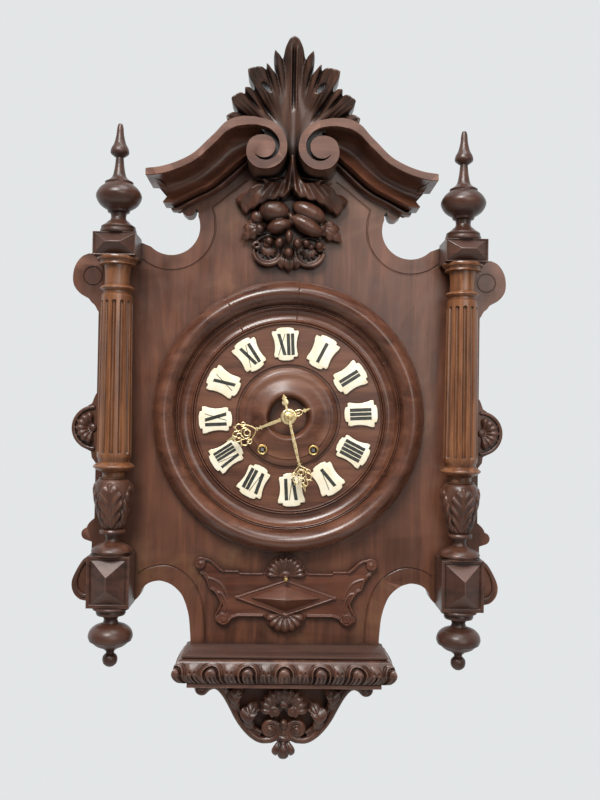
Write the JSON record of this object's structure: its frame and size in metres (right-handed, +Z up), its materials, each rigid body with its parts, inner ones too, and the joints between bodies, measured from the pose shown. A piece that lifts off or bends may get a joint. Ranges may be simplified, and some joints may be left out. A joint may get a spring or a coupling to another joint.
{
  "type": "pendulum wall clock",
  "caption": "Carved walnut wall clock: turned dial ring with enamel hour plaques, side columns, crest, bracket and a rear case with striking movement and pendulum.",
  "frame": {"origin": "centre of the hanging hole in the steel hanger plate, on the wall plane", "axes": "+Y towards the wall (the dial faces -Y), +Z up, +X to the viewer's right"},
  "size_m": [0.499, 0.17, 0.803],
  "materials": {
    "walnut": "dark walnut, carved, old satin shellac",
    "turned_walnut": "dark walnut, turned, old satin shellac",
    "column_walnut": "amber streaked walnut, fluted, satin shellac",
    "case_wood": "plain stained softwood, matte",
    "enamel": "cream enamel with charcoal numerals, glossy",
    "brass": "brushed, slightly tarnished",
    "gilt": "gilt, polished",
    "steel": "blued grey, satin",
    "iron": "black painted casting"
  },
  "bodies": {
    "case": {"main_board": "walnut", "dial_bezel": "turned_walnut", "dial_plate": "turned_walnut", "winding_grommets": "brass", "hour_plaques": "enamel", "pediment_moulding_right": "walnut", "pediment_moulding_left": "walnut", "crest_palmette": "walnut", "fruit_carving": "walnut", "strapwork_panel": "walnut", "diamond_boss": "walnut", "shelf_moulding": "walnut", "bracket_carving": "walnut", "top_finials": "turned_walnut", "top_blocks": "turned_walnut", "column_shafts": "column_walnut", "column_vases": "turned_walnut", "bottom_blocks": "turned_walnut", "drop_finials": "turned_walnut", "case_side_left": "case_wood", "case_top": "case_wood", "case_bottom": "case_wood", "back_panel": "case_wood", "hanger_plate": "steel", "case_hinge_leaves": "brass", "front_plate": "brass", "back_plate": "brass", "plate_pillars": "brass", "pillar_nuts": "steel", "wood_screws": "steel", "suspension_cock": "brass", "gong": "steel", "gong_stand": "iron"},
    "side_door": {"side_door": "case_wood", "door_hinge_leaves": "brass", "door_knob": "brass"},
    "going_barrel": {"going_barrel": "brass"},
    "going_winding_arbor": {"going_winding_arbor": "steel"},
    "going_click": {"going_click": "steel"},
    "intermediate_wheel": {"intermediate_wheel": "brass"},
    "centre_wheel": {"centre_wheel": "brass"},
    "third_wheel": {"third_wheel": "brass"},
    "escape_wheel": {"escape_wheel": "brass"},
    "pallet_anchor": {"pallet_anchor": "steel"},
    "pendulum": {"pendulum_rod": "steel"},
    "bob": {"pendulum_bob": "brass"},
    "rating_nut": {"rating_nut": "brass"},
    "minute_hand": {"cannon_pinion": "steel", "minute_hand": "gilt", "hand_nut": "gilt"},
    "minute_wheel": {"minute_wheel": "brass"},
    "hour_hand": {"hour_wheel": "brass", "hour_hand": "gilt"},
    "strike_barrel": {"strike_barrel": "brass"},
    "strike_winding_arbor": {"strike_winding_arbor": "steel"},
    "strike_click": {"strike_click": "steel"},
    "strike_pin_wheel": {"strike_pin_wheel": "brass"},
    "strike_third_wheel": {"strike_third_wheel": "brass"},
    "strike_fly": {"strike_fly": "brass"},
    "strike_hammer": {"strike_hammer": "steel"}
  },
  "joints": [
    {"name": "side_door_hinge", "type": "hinge", "parent": "case", "child": "side_door", "pos_m": [0.1065, -0.0085, -0.23], "axis": [0, 0, 1], "range_deg": [0, 100]},
    {"name": "third_wheel_spin", "type": "hinge", "parent": "case", "child": "third_wheel", "pos_m": [0.01061, -0.066, -0.17328], "axis": [0, 1, 0], "continuous": true},
    {"name": "centre_wheel_spin", "type": "hinge", "parent": "case", "child": "centre_wheel", "pos_m": [0, -0.074, -0.19], "axis": [0, 1, 0], "continuous": true},
    {"name": "intermediate_wheel_spin", "type": "hinge", "parent": "case", "child": "intermediate_wheel", "pos_m": [0.01901, -0.082, -0.19845], "axis": [0, 1, 0], "continuous": true},
    {"name": "going_barrel_spin", "type": "hinge", "parent": "case", "child": "going_barrel", "pos_m": [0.029, -0.064, -0.2275], "axis": [0, 1, 0], "continuous": true},
    {"name": "escape_wheel_spin", "type": "hinge", "parent": "case", "child": "escape_wheel", "pos_m": [0, -0.055, -0.1585], "axis": [0, 1, 0], "continuous": true},
    {"name": "going_winding", "type": "hinge", "parent": "case", "child": "going_winding_arbor", "pos_m": [0.029, -0.08, -0.2275], "axis": [0, 1, 0], "continuous": true},
    {"name": "strike_winding", "type": "hinge", "parent": "case", "child": "strike_winding_arbor", "pos_m": [-0.029, -0.08, -0.2275], "axis": [0, 1, 0], "continuous": true},
    {"name": "going_click_lift", "type": "hinge", "parent": "case", "child": "going_click", "pos_m": [0.04199, -0.093, -0.235], "axis": [0, 1, 0], "range_deg": [0, 8], "stiffness_Nm_per_rad": 0.0005},
    {"name": "strike_click_lift", "type": "hinge", "parent": "case", "child": "strike_click", "pos_m": [-0.04199, -0.093, -0.235], "axis": [0, 1, 0], "range_deg": [-8, 0], "stiffness_Nm_per_rad": 0.0005},
    {"name": "pendulum_swing", "type": "hinge", "parent": "case", "child": "pendulum", "pos_m": [0, -0.031, -0.138], "axis": [0, 1, 0], "range_deg": [-4, 4]},
    {"name": "pallet_swing", "type": "hinge", "parent": "case", "child": "pallet_anchor", "pos_m": [0, -0.055, -0.138], "axis": [0, 1, 0], "range_deg": [-4, 4]},
    {"name": "bob_height", "type": "slide", "parent": "pendulum", "child": "bob", "axis": [0, 0, 1], "range_m": [-0.003, 0.003]},
    {"name": "rating_nut_turn", "type": "hinge", "parent": "bob", "child": "rating_nut", "pos_m": [0, -0.031, -0.409], "axis": [0, 0, 1], "range_deg": [-1351, 1351]},
    {"name": "minute_hand_turn", "type": "hinge", "parent": "case", "child": "minute_hand", "pos_m": [0, -0.11, -0.19], "axis": [0, 1, 0], "continuous": true},
    {"name": "minute_wheel_turn", "type": "hinge", "parent": "case", "child": "minute_wheel", "pos_m": [-0.00848, -0.094, -0.18152], "axis": [0, 1, 0], "continuous": true},
    {"name": "hour_hand_turn", "type": "hinge", "parent": "case", "child": "hour_hand", "pos_m": [0, -0.11, -0.19], "axis": [0, 1, 0], "continuous": true},
    {"name": "strike_third_wheel_spin", "type": "hinge", "parent": "case", "child": "strike_third_wheel", "pos_m": [-0.0281, -0.066, -0.17776], "axis": [0, 1, 0], "continuous": true},
    {"name": "strike_pin_wheel_spin", "type": "hinge", "parent": "case", "child": "strike_pin_wheel", "pos_m": [-0.03327, -0.082, -0.19708], "axis": [0, 1, 0], "continuous": true},
    {"name": "strike_barrel_spin", "type": "hinge", "parent": "case", "child": "strike_barrel", "pos_m": [-0.029, -0.064, -0.2275], "axis": [0, 1, 0], "continuous": true},
    {"name": "strike_fly_spin", "type": "hinge", "parent": "case", "child": "strike_fly", "pos_m": [-0.03019, -0.06, -0.16291], "axis": [0, 1, 0], "continuous": true},
    {"name": "hammer_lift", "type": "hinge", "parent": "case", "child": "strike_hammer", "pos_m": [0.052, -0.05, -0.17], "axis": [0, 1, 0], "range_deg": [-8, 0]}
  ],
  "couplings": [
    {"joint": "centre_wheel_spin", "follows": "third_wheel_spin", "ratio": -0.1},
    {"joint": "intermediate_wheel_spin", "follows": "third_wheel_spin", "ratio": 0.011111},
    {"joint": "going_barrel_spin", "follows": "third_wheel_spin", "ratio": -0.0015873},
    {"joint": "escape_wheel_spin", "follows": "third_wheel_spin", "ratio": -12},
    {"joint": "pallet_swing", "follows": "pendulum_swing", "ratio": 1},
    {"joint": "rating_nut_turn", "follows": "bob_height", "rad_per_m": 7854},
    {"joint": "minute_wheel_turn", "follows": "minute_hand_turn", "ratio": -0.33333},
    {"joint": "hour_hand_turn", "follows": "minute_hand_turn", "ratio": 0.083333},
    {"joint": "strike_pin_wheel_spin", "follows": "strike_third_wheel_spin", "ratio": -0.11111},
    {"joint": "strike_barrel_spin", "follows": "strike_third_wheel_spin", "ratio": 0.015873},
    {"joint": "strike_fly_spin", "follows": "strike_third_wheel_spin", "ratio": -10}
  ]
}
